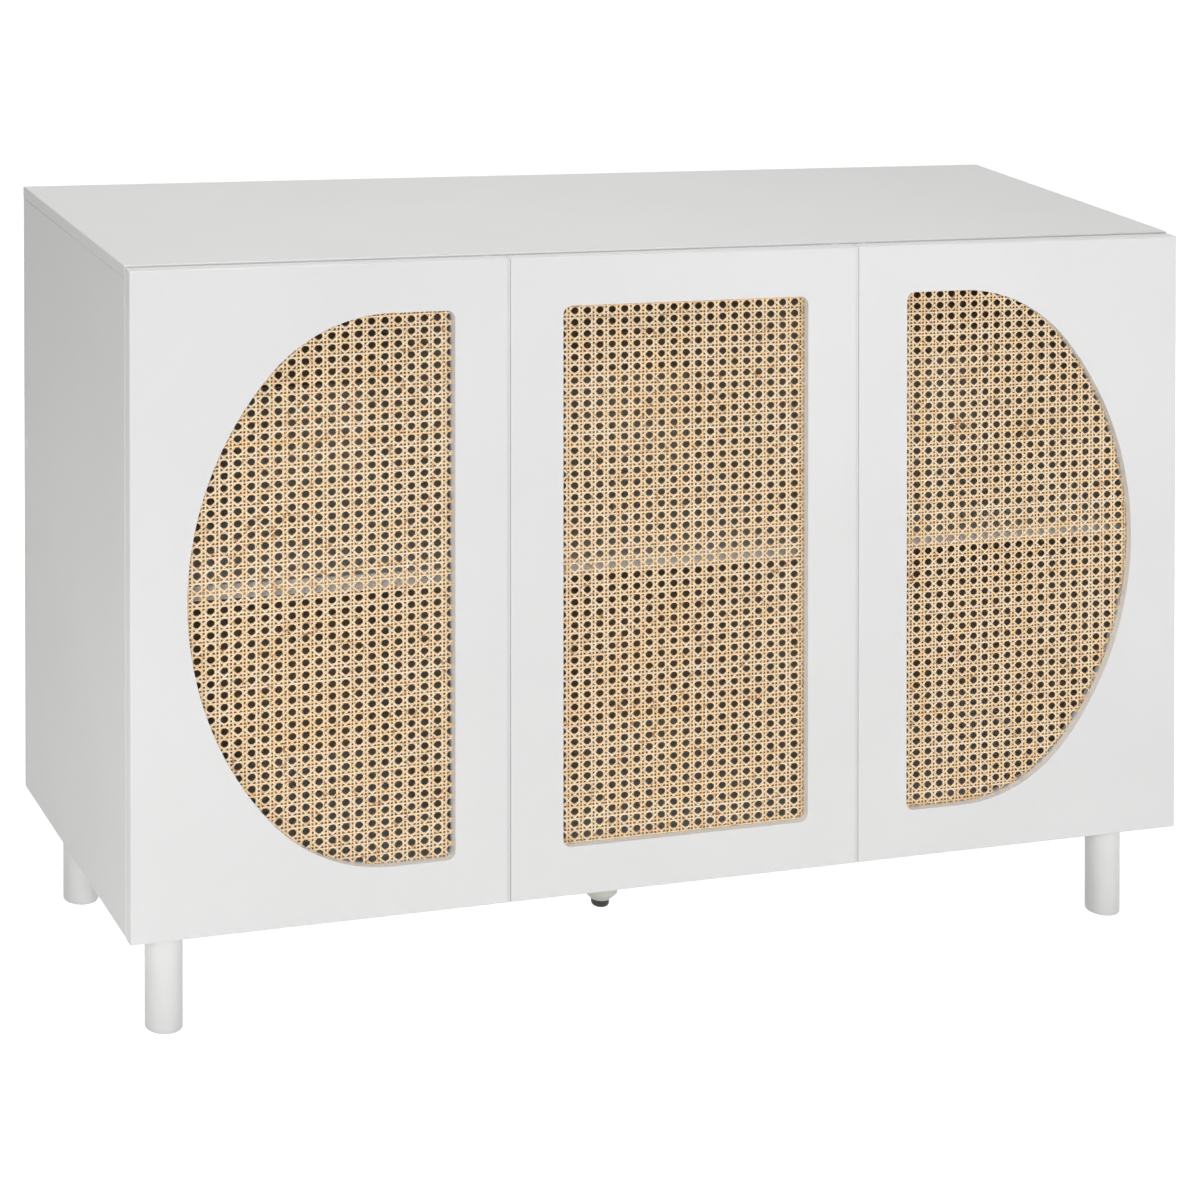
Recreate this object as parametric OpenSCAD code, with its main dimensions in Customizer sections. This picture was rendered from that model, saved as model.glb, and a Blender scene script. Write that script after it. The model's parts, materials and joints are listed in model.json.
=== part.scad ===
// Low sideboard with three cane-front doors on round legs.
// Millimetres. X runs to the right, Y to the rear and Z up, from the floor under the middle.

/* [Cabinet] */
// Overall width
cabinet_w = 1200; // [900:10:1600]
// Overall depth, doors included
cabinet_d = 400; // [320:5:500]
// Height of the top surface above the floor
cabinet_h = 768; // [640:1:1000]
// Thickness of the top, bottom and side boards
board_t = 12; // [12:1:18]
// Thickness of the two dividers
divider_t = 12; // [12:1:18]
// Thickness of the back sheets
back_t = 3; // [2.5:0.5:6]
// Distance of the back sheets from the rear edges
back_inset = 3.6; // [1:0.1:10]
// How far the back sheets reach into the rebates of the boards round them
back_lap = 5; // [3:0.5:8]
// Radius of the softened outer edges
soft_r = 1.5; // [0.5:0.1:2.5]

/* [Shelves and rails] */
// Thickness of the shelves
shelf_t = 15; // [12:1:22]
// Height of the shelves' upper face above the floor
shelf_top_z = 443; // [300:1:500]
// Distance of the shelves' front edge from the carcase front
shelf_setback = 22; // [5:1:60]
// Height of the rear rails that stand on the shelves
rear_rail_h = 98; // [60:1:150]
// Thickness of the rear rails
rear_rail_t = 12; // [12:1:18]
// Diameter of the shelf pins
pin_d = 5; // [4:0.5:6]
// How far the shelf pins stand out of the boards
pin_out = 9; // [6:0.5:12]
// How deep the shelf pins sit in the boards
pin_in = 5; // [3:0.5:5.5]

/* [Doors] */
// Thickness of the door panels
door_t = 15; // [15:1:22]
// Gap between neighbouring doors
door_gap = 3; // [2:0.5:5]
// Gap between the doors and the carcase front
door_clear = 2.8; // [2.6:0.1:4]
// Distance of the doors' upper edge below the top surface
door_drop = 2; // [0:0.5:4]
// Distance of the gap strips' front edge behind the doors' front face
strip_inset = 1.4; // [0.5:0.1:5]
// Depth of the gap strips' seats in the dividers
strip_in = 6; // [4:0.5:8]
// Width of the door frame beside the opening
stile_w = 58; // [50:1:80]
// Height of the door frame above and below the opening
rail_w = 50; // [40:1:80]
// Straight run of the bowed openings' upper and lower edges
straight_run = 68; // [40:1:90]
// Radius that leads from the straight run into the bow
shoulder_r = 175; // [100:1:180]
// Radius of the openings' small corners
corner_r = 9; // [4:1:20]

/* [Cane] */
// Depth of the cane behind the doors' front face
cane_depth = 8.5; // [5:0.5:10]
// Thickness of the cane webbing
cane_t = 1.5; // [1:0.1:2]
// Width of the rebate that holds the cane
rebate_w = 8; // [6:0.5:12]
// Spacing of the modelled holes across the webbing, three of the weave's own
hole_pitch_x = 42; // [36:1:60]
// Spacing of the modelled holes up the webbing, three of the weave's own
hole_pitch_z = 36; // [30:1:60]
// Size of the modelled holes
hole_d = 24; // [10:1:28]

/* [Legs] */
// Height of the carcase's underside above the floor
leg_h = 112; // [80:1:180]
// Diameter of the legs
leg_d = 38; // [30:1:50]
// Distance of the legs' axis from the cabinet's ends
leg_side = 52; // [45:1:120]
// Distance of the front legs' axis from the doors' front face
leg_front = 60.5; // [50:0.5:120]
// Distance of the rear legs' axis from the rear edge
leg_rear = 38; // [36:1:120]
// Height of the plastic glides under the legs
glide_h = 4; // [3:0.5:8]
// Thickness of the steel plates above the legs
leg_plate_t = 2; // [1.5:0.5:4]
// Side of the square steel plates above the legs
leg_plate_w = 58; // [56:1:70]
// Diameter of the levelling foot under the middle leg
foot_d = 20; // [16:1:28]
// Radius of the levelling foot's lower edge
foot_round = 4; // [1:0.5:5]
// Height of the levelling foot below the middle leg
foot_h = 8.5; // [6:0.5:20]
// Diameter of the levelling foot's stud
stud_d = 8; // [6:1:10]
// Length of the levelling foot's stud
stud_l = 35; // [20:1:45]

/* [Hinges] */
// Distance of the hinges from the doors' upper and lower edges
hinge_z = 90; // [70:1:130]
// Distance of the turning axis from the doors' hinge edge
pivot_in = 7; // [6:0.5:8]
// Distance of the turning axis behind the doors' front face
pivot_back = 3; // [2:0.5:4]
// Diameter of the hinge cups
cup_d = 35; // [35:1:40]
// Depth of the hinge cups
cup_depth = 11.5; // [10:0.5:12]
// Wood left between the hinge cup and the doors' edge
cup_edge = 5; // [4:0.5:6]
// Thickness of the hinges' sheet steel
sheet_t = 1; // [0.8:0.1:1.2]
// Length of the hinge arms inside the carcase
arm_l = 58; // [50:1:70]
// Width of the hinge arms
arm_w = 12; // [10:1:14]
// Height of the hinge arms' side walls
arm_h = 6; // [5:0.5:8]
// Thickness of the hinge arms' web
web_t = 2; // [1.5:0.5:2.5]
// Thickness of the mounting plates
plate_t = 3; // [2:0.5:4]

/* [Push latches] */
// Width of the latch housings
latch_w = 14; // [13:1:20]
// Height of the latch housings
latch_h = 13; // [13:1:16]
// Length of the latch housings
latch_l = 52; // [45:1:70]
// Distance of the latches from the doors' free edge
latch_in = 32; // [25:1:60]
// Diameter of the latch plungers
plunger_d = 8; // [6:0.5:9]
// Length of the latch plungers
plunger_l = 28; // [20:1:36]
// Stroke of the latch plungers
plunger_stroke = 2; // [1:0.5:3]
// Diameter of the steel discs that the latches hold
strike_d = 14; // [12:1:18]

/* [Fittings] */
// Diameter of the cam locks
cam_d = 15; // [12:1:15]
// Distance from the joint to the cam locks' centre
cam_reach = 24; // [20:1:34]
// Diameter of the cam bolts
bolt_d = 6; // [5:0.5:7]
// How deep the cam bolts reach into the board across the joint
bolt_in = 8; // [6:0.5:9]
// Distance of the front cam locks from the carcase front
cam_front = 100; // [90:1:130]
// Distance of the rear cam locks from the rear edge
cam_rear = 100; // [90:1:130]
// Diameter of the cover caps on the cabinet's ends
cap_d = 12; // [8:1:16]
// How far the cover caps stand out
cap_out = 0.4; // [0.2:0.1:1]
// Depth of the cover caps' seats
cap_in = 3; // [2:0.5:6]
// Diameter of the door bumpers
bumper_d = 8; // [6:0.5:9]

/* [Hidden] */
$fn = 48;

// Colours
painted = [0.90, 0.90, 0.90];
painted_top = [0.86, 0.86, 0.85];
straw = [0.90, 0.78, 0.60];
steel = [0.72, 0.73, 0.75];
grey_tube = [0.80, 0.80, 0.75];
hardboard = [0.46, 0.37, 0.28];
black = [0.10, 0.10, 0.10];
clear_plastic = [0.88, 0.90, 0.90];

// Clearances
overcut = 1;
bore_clear = 0.2;
rest_clear = 0.3;
slide_clear = 0.3;
swing_clear = 0.6;
strip_clear = 0.4;

// Places of the boards
front_y = -cabinet_d / 2;
rear_y = cabinet_d / 2;
carcase_y = front_y + door_t + door_clear;
carcase_depth = rear_y - carcase_y;
back_y = rear_y - back_inset - back_t;
inner_x = cabinet_w / 2 - board_t;
bottom_z = leg_h + board_t;
under_top_z = cabinet_h - board_t;
wall_h = under_top_z - bottom_z;

// Doors, numbered 0 for the left one, 1 for the middle one and 2 for the right one
door_w = (cabinet_w - 2 * door_gap) / 3;
door_h = cabinet_h - door_drop - leg_h;
opening_w = door_w - 2 * stile_w;
opening_h = door_h - 2 * rail_w;
door_mid_z = leg_h + door_h / 2;
divider_x = (door_w + door_gap) / 2;
strip_t = door_gap - 2 * strip_clear;
function door_x(i) = -cabinet_w / 2 + i * (door_w + door_gap);

// Bowed opening: half height, start of the straight run and the two radii
half_h = opening_h / 2;
bow_x = opening_w - straight_run;
shoulder = min(shoulder_r, 0.82 * bow_x, 0.8 * half_h);
bow_r = (bow_x * bow_x + pow(half_h - shoulder, 2) - shoulder * shoulder) / (2 * (bow_x - shoulder));
bow_angle = atan2(half_h - shoulder, bow_x - bow_r);

// Shelves
shelf_z = shelf_top_z - shelf_t;
shelf_y = carcase_y + shelf_setback;
pin_places = [shelf_y + 35, back_y - 50];
bay_left = [-inner_x, -divider_x + divider_t / 2, divider_x + divider_t / 2];
bay_right = [-divider_x - divider_t / 2, divider_x - divider_t / 2, inner_x];

// Legs
leg_x = cabinet_w / 2 - leg_side;
leg_top_z = leg_h - leg_plate_t;
leg_front_y = front_y + leg_front;
leg_rear_y = rear_y - leg_rear;
leg_places = [[-leg_x, leg_front_y], [leg_x, leg_front_y], [-leg_x, leg_rear_y], [leg_x, leg_rear_y]];
middle_leg_place = [0, (carcase_y + rear_y) / 2];
glide_plug_d = leg_d - 10;
glide_plug_h = 12;
leg_screw_offset = (leg_plate_w + leg_d) / 4 + 1.5;
foot_chamfer = (leg_d - foot_d) / 2 - 1;
stud_bore_l = stud_l + slide_clear;

// Screws
screw_d = 3.5;
screw_head_d = 6.5;
screw_head_h = 1.3;
screw_l = 9;

// Hinges, in a frame at the doors' hinge edge and front face
hinge_heights = [leg_h + hinge_z, leg_h + door_h - hinge_z];
cup_x = cup_edge + cup_d / 2;
cup_floor_y = door_t - cup_depth + sheet_t;
flange_edge = cup_edge - sheet_t;
rim_reach = norm([pivot_in - flange_edge, door_t + sheet_t - pivot_back]);
web_x = max(pivot_in + rim_reach + swing_clear, board_t + plate_t + arm_h);
seat_x = web_x - arm_h;
arm_y = door_t + door_clear + 1.2;
plate_line_y = door_t + door_clear + 37;
plate_screw_z = 16;
cup_screw_x = cup_x + 9.5;
cup_screw_z = 22.5;
function hinge_edge(i) = i == 2 ? cabinet_w / 2 : door_x(i);
function hinge_face(i) = i == 1 ? -divider_x + divider_t / 2 - door_x(1) : board_t;

// Latches
latch_z = under_top_z - latch_h / 2;
strike_y = front_y + door_t + sheet_t;
plunger_y = strike_y + rest_clear;
latch_y = carcase_y + 1;
function latch_x(i) = i == 2 ? door_x(2) + latch_in : door_x(i) + door_w - latch_in;

// Cam locks and bolts
cam_h = board_t - 2.5;
cam_places = [carcase_y + cam_front, rear_y - cam_rear];
bolt_l = cam_reach - cam_d / 2 + bolt_in;

// Places of the cover caps, in line with the middle of the rear rails' ends
cap_y = back_y - rear_rail_t / 2;
cap_z = shelf_top_z + rear_rail_h / 2;

// Bumpers
bumper_t = door_clear - rest_clear;
bumper_in = 16;

// Points of an arc about c from angle a to angle b
function arc(c, r, a, b, steps) = [
    for (k = [0:steps]) c + r * [cos(a + (b - a) * k / steps), sin(a + (b - a) * k / steps)]
];

// Opening bowed to the left, grown by g all round
module bowed_outline(g) {
    corner = [opening_w - corner_r, half_h - corner_r];
    polygon(concat(
        arc([corner.x, -corner.y], corner_r + g, -90, 0, 6),
        arc(corner, corner_r + g, 0, 90, 6),
        arc([bow_x, half_h - shoulder], shoulder + g, 90, bow_angle, 16),
        arc([bow_r, 0], bow_r + g, bow_angle, 360 - bow_angle, 36),
        arc([bow_x, shoulder - half_h], shoulder + g, 360 - bow_angle, 270, 16)
    ));
}

// Opening with four small corners, grown by g all round
module straight_outline(g) {
    corner = [opening_w - corner_r, half_h - corner_r];
    polygon(concat(
        arc([corner.x, -corner.y], corner_r + g, -90, 0, 6),
        arc(corner, corner_r + g, 0, 90, 6),
        arc([corner_r, corner.y], corner_r + g, 90, 180, 6),
        arc([corner_r, -corner.y], corner_r + g, 180, 270, 6)
    ));
}

// Opening of door i, grown by g, with its middle height at zero
module opening_outline(i, g) {
    if (i == 0) bowed_outline(g);
    if (i == 1) straight_outline(g);
    if (i == 2) translate([opening_w, 0]) mirror([1, 0]) bowed_outline(g);
}

// Stands a flat outline up in door i, from y of depth to y of depth plus t behind the front face
module in_door(i, depth, t) {
    translate([door_x(i) + stile_w, front_y + depth + t, door_mid_z])
        rotate([90, 0, 0])
            linear_extrude(t) children();
}

// Rectangle with its two front corners rounded
module soft_profile(w, t, r) {
    difference() {
        square([w, t]);
        for (side = [0, 1]) {
            translate([side * w, 0]) mirror([side, 0]) difference() {
                translate([-overcut, -overcut]) square(r + overcut);
                translate([r, r]) circle(r);
            }
        }
    }
}

// Board with the four edges of its front face rounded
module soft_board(w, t, h) {
    intersection() {
        linear_extrude(h) soft_profile(w, t, soft_r);
        translate([0, 0, h]) rotate([0, 90, 0]) linear_extrude(w) soft_profile(h, t, soft_r);
    }
}

// Plain board from one corner to the other
module board(from, to) {
    translate(from) cube(to - from);
}

// Cylinder that starts at a point and runs l along a direction
module rod(from, dir, d, l) {
    turn = dir.x != 0 ? [0, 90 * dir.x, 0] : dir.y != 0 ? [-90 * dir.y, 0, 0] : [dir.z < 0 ? 180 : 0, 0, 0];
    translate(from) rotate(turn) cylinder(d = d, h = l);
}

// Blind hole that starts past the surface and runs l into the board
module bore(from, dir, d, l) {
    rod(from - overcut * dir, dir, d, l + overcut);
}

// Pan-head screw whose head sits on a surface at from and whose shank runs along dir
module screw(from, dir) {
    rod(from - screw_head_h * dir, dir, screw_head_d, screw_head_h);
    rod(from, dir, screw_d, screw_l);
}

// Cam locks: each entry is the mouth of the cam's hole, the way in, the joint's side and the bolt's way
function side_cams(s) = [
    for (y = cam_places) [[s * inner_x, y, under_top_z - cam_reach], [s, 0, 0], [0, 0, 1]]
];
function floor_cams(s) = [
    for (y = cam_places) [[s * (inner_x - cam_reach), y, leg_h], [0, 0, 1], [s, 0, 0]]
];
function divider_cams(s) = [
    for (y = cam_places, up = [1, -1])
        [[s * (divider_x - divider_t / 2), y, up > 0 ? under_top_z - cam_reach : bottom_z + cam_reach],
         [s, 0, 0], [0, 0, up]]
];
all_cams = [for (s = [-1, 1]) each concat(side_cams(s), floor_cams(s), divider_cams(s))];

// Middle of a cam lock, at the depth of its bolt
function cam_centre(c) = c[0] + (c[2].x == 0 && abs(c[0].x) < inner_x ? divider_t : board_t) / 2 * c[1];

module cam_holes(cams) {
    for (c = cams) bore(c[0], c[1], cam_d + bore_clear, cam_h + bore_clear);
}

module bolt_holes(cams) {
    for (c = cams) {
        rod(cam_centre(c), c[2], bolt_d + bore_clear, cam_reach + bolt_in + bore_clear);
    }
}

// Holes for the shelf pins in the board faces at x, on the side that s points away from
module pin_holes(x, s) {
    for (y = pin_places) {
        bore([x, y, shelf_z - pin_d / 2], [s, 0, 0], pin_d + bore_clear, pin_in + bore_clear);
    }
}

// Screw holes of the hinges that belong to door i, in the carcase
module hinge_holes(i) {
    at_hinges(i) hinge_plate_places(i)
        bore([0, 0, 0], [-1, 0, 0], screw_d + bore_clear, screw_l);
}

// Rebate for the back sheets, cut from the boards round them
module back_rebate() {
    half = inner_x + back_lap;
    board([-half, back_y, bottom_z - back_lap], [half, rear_y + overcut, under_top_z + back_lap]);
}

module top_panel() {
    color(painted_top) difference() {
        translate([-cabinet_w / 2, carcase_y, cabinet_h]) rotate([-90, 0, 0])
            soft_board(cabinet_w, board_t, carcase_depth);
        back_rebate();
        bolt_holes([for (c = all_cams) if (c[2].z == 1) c]);
    }
}

module bottom_panel() {
    color(painted) difference() {
        board([-inner_x, carcase_y, leg_h], [inner_x, rear_y, bottom_z]);
        back_rebate();
        cam_holes([for (c = all_cams) if (c[2].x != 0) c]);
        bolt_holes([for (c = all_cams) if (c[2].z != 1) c]);
        leg_screw_places() bore([0, 0, 0], [0, 0, 1], screw_d + bore_clear, screw_l);
    }
}

module side_panel(s) {
    color(painted) difference() {
        mirror([s < 0 ? 0 : 1, 0, 0]) translate([-cabinet_w / 2, rear_y, leg_h]) rotate([0, 0, -90])
            soft_board(carcase_depth, board_t, under_top_z - leg_h);
        back_rebate();
        cam_holes(side_cams(s));
        bolt_holes(concat(side_cams(s), floor_cams(s)));
        pin_holes(s * inner_x, s);
        hinge_holes(s < 0 ? 0 : 2);
        bore([s * cabinet_w / 2, cap_y, cap_z], [-s, 0, 0], cap_d + bore_clear, cap_in + bore_clear);
    }
}

module left_side_panel() {
    side_panel(-1);
}

module right_side_panel() {
    side_panel(1);
}

module divider(s) {
    color(painted) difference() {
        board([s * divider_x - divider_t / 2, carcase_y, bottom_z],
              [s * divider_x + divider_t / 2, back_y, under_top_z]);
        cam_holes(divider_cams(s));
        bolt_holes(divider_cams(s));
        pin_holes(s * divider_x + divider_t / 2, -1);
        pin_holes(s * divider_x - divider_t / 2, 1);
        if (s < 0) hinge_holes(1);
        board([s * divider_x - strip_t / 2, carcase_y - overcut, bottom_z - overcut],
              [s * divider_x + strip_t / 2, carcase_y + strip_in, under_top_z + overcut]);
    }
}

module left_divider() {
    divider(-1);
}

module right_divider() {
    divider(1);
}

// Upright strips that fill the gaps between the doors, each seated in a divider's front edge
module gap_strips() {
    strip_top = cabinet_h - door_drop - rest_clear;
    color(painted) for (s = [-1, 1]) {
        translate([s * divider_x - strip_t / 2, 0, 0]) rotate([90, 0, 90]) linear_extrude(strip_t) polygon([
            [front_y + strip_inset, leg_h + rest_clear],
            [carcase_y, leg_h + rest_clear],
            [carcase_y, bottom_z],
            [carcase_y + strip_in, bottom_z],
            [carcase_y + strip_in, under_top_z],
            [carcase_y, under_top_z],
            [carcase_y, strip_top],
            [front_y + strip_inset, strip_top]
        ]);
    }
}

// Back sheet of bay i, from the rebate or the middle of a divider to the next
module back_sheet(i) {
    edge = inner_x + back_lap - rest_clear;
    limits = [-edge, -divider_x, divider_x, edge];
    color(hardboard) board(
        [limits[i] + (i > 0 ? rest_clear : 0), back_y, bottom_z - back_lap + rest_clear],
        [limits[i + 1] - (i < 2 ? rest_clear : 0), back_y + back_t, under_top_z + back_lap - rest_clear]);
}

module left_back_sheet() {
    back_sheet(0);
}

module middle_back_sheet() {
    back_sheet(1);
}

module right_back_sheet() {
    back_sheet(2);
}

module shelf(i) {
    color(painted) board([bay_left[i] + rest_clear, shelf_y, shelf_z],
                         [bay_right[i] - rest_clear, back_y - rest_clear, shelf_top_z]);
}

module left_shelf() {
    shelf(0);
}

module middle_shelf() {
    shelf(1);
}

module right_shelf() {
    shelf(2);
}

module shelf_pins() {
    color(steel) for (i = [0:2], y = pin_places, s = [-1, 1]) {
        x = s < 0 ? bay_left[i] : bay_right[i];
        rod([x + s * pin_in, y, shelf_z - pin_d / 2], [-s, 0, 0], pin_d, pin_in + pin_out);
    }
}

module rear_rail(i) {
    color(painted) board([bay_left[i], back_y - rear_rail_t, shelf_top_z],
                         [bay_right[i], back_y, shelf_top_z + rear_rail_h]);
}

module left_rear_rail() {
    rear_rail(0);
}

module middle_rear_rail() {
    rear_rail(1);
}

module right_rear_rail() {
    rear_rail(2);
}

// Leg k, with a socket for the glide's plug in its lower end
module leg(k) {
    color(painted) translate([leg_places[k].x, leg_places[k].y, 0]) difference() {
        translate([0, 0, glide_h]) cylinder(d = leg_d, h = leg_top_z - glide_h, $fn = 64);
        bore([0, 0, glide_h], [0, 0, 1], glide_plug_d + bore_clear, glide_plug_h + bore_clear);
    }
}

module front_left_leg() {
    leg(0);
}

module front_right_leg() {
    leg(1);
}

module rear_left_leg() {
    leg(2);
}

module rear_right_leg() {
    leg(3);
}

// Round disc with its lower edge rounded off, standing on the floor
module rounded_disc(d, h, r) {
    rotate_extrude($fn = 64) difference() {
        square([d / 2, h]);
        translate([d / 2 - r, 0]) difference() {
            translate([0, -overcut]) square([r + overcut, r + overcut]);
            translate([0, r]) circle(r);
        }
    }
}

module leg_glides() {
    color(painted) for (p = leg_places) translate([p.x, p.y, 0]) {
        rounded_disc(leg_d, glide_h, glide_h / 2);
        translate([0, 0, glide_h]) cylinder(d = glide_plug_d, h = glide_plug_h);
    }
}

module leg_screw_places() {
    for (p = concat(leg_places, [middle_leg_place]), a = [-1, 1], b = [-1, 1]) {
        translate([p.x + a * leg_screw_offset, p.y + b * leg_screw_offset, leg_h]) children();
    }
}

module leg_plate(p) {
    color(steel) difference() {
        translate([p.x, p.y, leg_h - leg_plate_t / 2]) cube([leg_plate_w, leg_plate_w, leg_plate_t], center = true);
        leg_screw_places() rod([0, 0, -leg_plate_t - overcut], [0, 0, 1], screw_d + bore_clear, leg_plate_t + 2 * overcut);
    }
}

module leg_plates() {
    for (p = leg_places) leg_plate(p);
}

module leg_plate_screws() {
    color(steel) leg_screw_places() screw([0, 0, -leg_plate_t], [0, 0, 1]);
}

module middle_leg_plate() {
    leg_plate(middle_leg_place);
}

// Middle leg, chamfered at its lower end and bored for the foot's stud
module middle_leg() {
    color(grey_tube) translate(middle_leg_place) rotate_extrude($fn = 64) polygon([
        [stud_d / 2 + bore_clear, foot_h],
        [leg_d / 2 - foot_chamfer, foot_h],
        [leg_d / 2, foot_h + foot_chamfer],
        [leg_d / 2, leg_top_z],
        [0, leg_top_z],
        [0, foot_h + stud_bore_l],
        [stud_d / 2 + bore_clear, foot_h + stud_bore_l]
    ]);
}

module levelling_foot() {
    color(black) translate(middle_leg_place) {
        rounded_disc(foot_d, foot_h - rest_clear, foot_round);
        translate([0, 0, foot_h - rest_clear]) cylinder(d = stud_d, h = stud_l);
    }
}

// Frame of door i at its hinge edge and front face, mirrored for the right door
module at_hinge_edge(i) {
    translate([hinge_edge(i), front_y, 0]) mirror([i == 2 ? 1 : 0, 0, 0]) children();
}

module at_hinges(i) {
    for (z = hinge_heights) at_hinge_edge(i) translate([0, 0, z]) children();
}

module door_panel(i) {
    ring_depth = door_t - cane_depth;
    color(painted) difference() {
        translate([door_x(i), front_y, leg_h]) soft_board(door_w, door_t, door_h);
        in_door(i, -overcut, door_t) opening_outline(i, 0);
        in_door(i, cane_depth, ring_depth + overcut) opening_outline(i, rebate_w);
        at_hinges(i) {
            bore([cup_x, door_t, 0], [0, -1, 0], cup_d + bore_clear, cup_depth + bore_clear);
            for (s = [-1, 1]) {
                bore([cup_screw_x, door_t, s * cup_screw_z], [0, -1, 0], screw_d + bore_clear, screw_l);
            }
        }
    }
}

module left_door_panel() {
    door_panel(0);
}

module middle_door_panel() {
    door_panel(1);
}

module right_door_panel() {
    door_panel(2);
}

// Rows and columns of holes over the whole opening
module hole_grid() {
    columns = floor((opening_w / 2 - hole_d / 2) / hole_pitch_x);
    rows = floor((opening_h / 2 - hole_d / 2) / hole_pitch_z);
    for (c = [-columns:columns], r = [-rows:rows]) {
        translate([opening_w / 2 + c * hole_pitch_x, r * hole_pitch_z]) circle(d = hole_d, $fn = 6);
    }
}

// Cane webbing as a flat net
module cane(i) {
    color(straw) in_door(i, cane_depth, cane_t) difference() {
        opening_outline(i, rebate_w - rest_clear);
        intersection() {
            opening_outline(i, -corner_r / 2);
            hole_grid();
        }
    }
}

module left_cane() {
    cane(0);
}

module middle_cane() {
    cane(1);
}

module right_cane() {
    cane(2);
}

// Ring that holds the cane in its rebate, flush with the door's back
module cane_retainer(i) {
    depth = cane_depth + cane_t;
    color(painted) in_door(i, depth, door_t - depth) difference() {
        opening_outline(i, rebate_w - rest_clear);
        opening_outline(i, 0);
    }
}

module left_cane_retainer() {
    cane_retainer(0);
}

module middle_cane_retainer() {
    cane_retainer(1);
}

module right_cane_retainer() {
    cane_retainer(2);
}

// Hinge cups with their flanges and the knuckles in them
module hinge_cups(i) {
    inner_d = cup_d - 2 * sheet_t;
    color(steel) at_hinges(i) {
        difference() {
            union() {
                rod([cup_x, door_t, 0], [0, -1, 0], cup_d, cup_depth);
                rod([cup_x, door_t, 0], [0, 1, 0], cup_d + 2 * sheet_t, sheet_t);
                translate([cup_screw_x, door_t + sheet_t / 2, 0]) cube([10, sheet_t, 2 * cup_screw_z + 10], center = true);
            }
            bore([cup_x, door_t + sheet_t, 0], [0, -1, 0], inner_d, door_t + sheet_t - cup_floor_y);
            for (s = [-1, 1]) {
                rod([cup_screw_x, door_t - overcut, s * cup_screw_z], [0, 1, 0], screw_d + bore_clear, sheet_t + 2 * overcut);
            }
        }
        intersection() {
            translate([pivot_in, pivot_back, 0]) cylinder(r = rim_reach, h = arm_w / 2, center = true);
            rod([cup_x, cup_floor_y - sheet_t / 2, 0], [0, 1, 0], inner_d + sheet_t, door_t - cup_floor_y);
        }
    }
}

module left_hinge_cups() {
    hinge_cups(0);
}

module middle_hinge_cups() {
    hinge_cups(1);
}

module right_hinge_cups() {
    hinge_cups(2);
}

module cup_screws(i) {
    color(steel) at_hinges(i) for (s = [-1, 1]) {
        screw([cup_screw_x, door_t + sheet_t, s * cup_screw_z], [0, -1, 0]);
    }
}

module left_cup_screws() {
    cup_screws(0);
}

module middle_cup_screws() {
    cup_screws(1);
}

module right_cup_screws() {
    cup_screws(2);
}

// Hinge arms: folded channels whose web runs on as a tongue into the cup
module hinge_arms(i) {
    tongue_y = cup_floor_y + 1;
    tongue_w = arm_w - 2;
    color(steel) at_hinges(i) {
        translate([web_x, tongue_y, -tongue_w / 2]) cube([web_t, arm_y - tongue_y, tongue_w]);
        difference() {
            translate([seat_x, arm_y, -arm_w / 2]) cube([arm_h + web_t, arm_l, arm_w]);
            translate([seat_x - overcut, arm_y - overcut, -arm_w / 2 + web_t])
                cube([arm_h + overcut, arm_l + 2 * overcut, arm_w - 2 * web_t]);
        }
    }
}

module left_hinge_arms() {
    hinge_arms(0);
}

module middle_hinge_arms() {
    hinge_arms(1);
}

module right_hinge_arms() {
    hinge_arms(2);
}

// Places of the mounting plates' screws on the carcase face beside door i
module hinge_plate_places(i) {
    for (s = [-1, 1]) translate([hinge_face(i), plate_line_y, s * plate_screw_z]) children();
}

// Mounting plates: a wing for the two screws and a spine under the arm
module hinge_plates() {
    wing_w = 12;
    color(steel) for (i = [0:2]) at_hinges(i) difference() {
        union() {
            translate([hinge_face(i), plate_line_y - wing_w / 2, -plate_screw_z - wing_w / 2])
                cube([plate_t, wing_w, 2 * plate_screw_z + wing_w]);
            translate([hinge_face(i), arm_y + 4, -arm_w / 2])
                cube([seat_x - hinge_face(i), arm_l - 4, arm_w]);
        }
        hinge_plate_places(i) rod([-overcut, 0, 0], [1, 0, 0], screw_d + bore_clear, plate_t + 2 * overcut);
    }
}

module hinge_plate_screws() {
    color(steel) for (i = [0:2]) at_hinges(i) hinge_plate_places(i) screw([plate_t, 0, 0], [-1, 0, 0]);
}

// Push latches under the top panel, each bored for its plunger
module latch_housings() {
    bore_l = plunger_y + plunger_l + plunger_stroke + slide_clear - latch_y;
    color(painted) for (i = [0:2]) difference() {
        translate([latch_x(i) - latch_w / 2, latch_y, under_top_z - latch_h]) cube([latch_w, latch_l, latch_h]);
        bore([latch_x(i), latch_y, latch_z], [0, 1, 0], plunger_d + 2 * slide_clear, bore_l);
    }
}

module plunger(i) {
    color(steel) rod([latch_x(i), plunger_y, latch_z], [0, 1, 0], plunger_d, plunger_l);
}

module left_plunger() {
    plunger(0);
}

module middle_plunger() {
    plunger(1);
}

module right_plunger() {
    plunger(2);
}

module strike(i) {
    color(steel) rod([latch_x(i), strike_y - sheet_t, latch_z], [0, 1, 0], strike_d, sheet_t);
}

module left_strike() {
    strike(0);
}

module middle_strike() {
    strike(1);
}

module right_strike() {
    strike(2);
}

// Cam locks with their cross slots
module cam_locks() {
    color(steel) for (c = all_cams) difference() {
        rod(c[0], c[1], cam_d, cam_h);
        translate(c[0]) rotate(c[1].z == 0 ? [0, 0, 0] : [0, 90, 0]) {
            cube([3, 1.6, cam_d * 0.6], center = true);
            cube([3, cam_d * 0.6, 1.6], center = true);
        }
    }
}

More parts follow.
